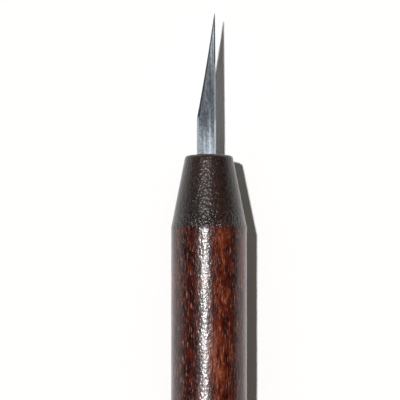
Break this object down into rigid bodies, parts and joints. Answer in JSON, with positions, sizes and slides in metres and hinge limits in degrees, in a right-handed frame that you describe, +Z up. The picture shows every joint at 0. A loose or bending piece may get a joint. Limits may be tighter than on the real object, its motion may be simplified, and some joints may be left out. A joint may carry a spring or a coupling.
{
  "type": "cutout knife",
  "caption": "Slim hand knife with a narrow pointed steel blade glued into the conical nose of a round varnished hardwood handle, for cutting shapes out of clay or card.",
  "frame": {"origin": "on the table under the middle of the knife's overall length, straight below the handle's axis", "axes": "+Y along the handle towards the point, +X towards the blade's spine, +Z up from the table the knife lies on"},
  "size_m": [0.0126, 0.1508, 0.0127],
  "materials": {
    "wood": "red-brown stain under gloss varnish, darker and duller on the cone",
    "steel": "ground along its length, bright at the root and greyer towards the point",
    "epoxy": "cured clear amber epoxy, dark against the stained wood"
  },
  "bodies": {
    "root": {"handle": "wood", "blade": "steel", "tang_bond": "epoxy"}
  },
  "joints": []
}
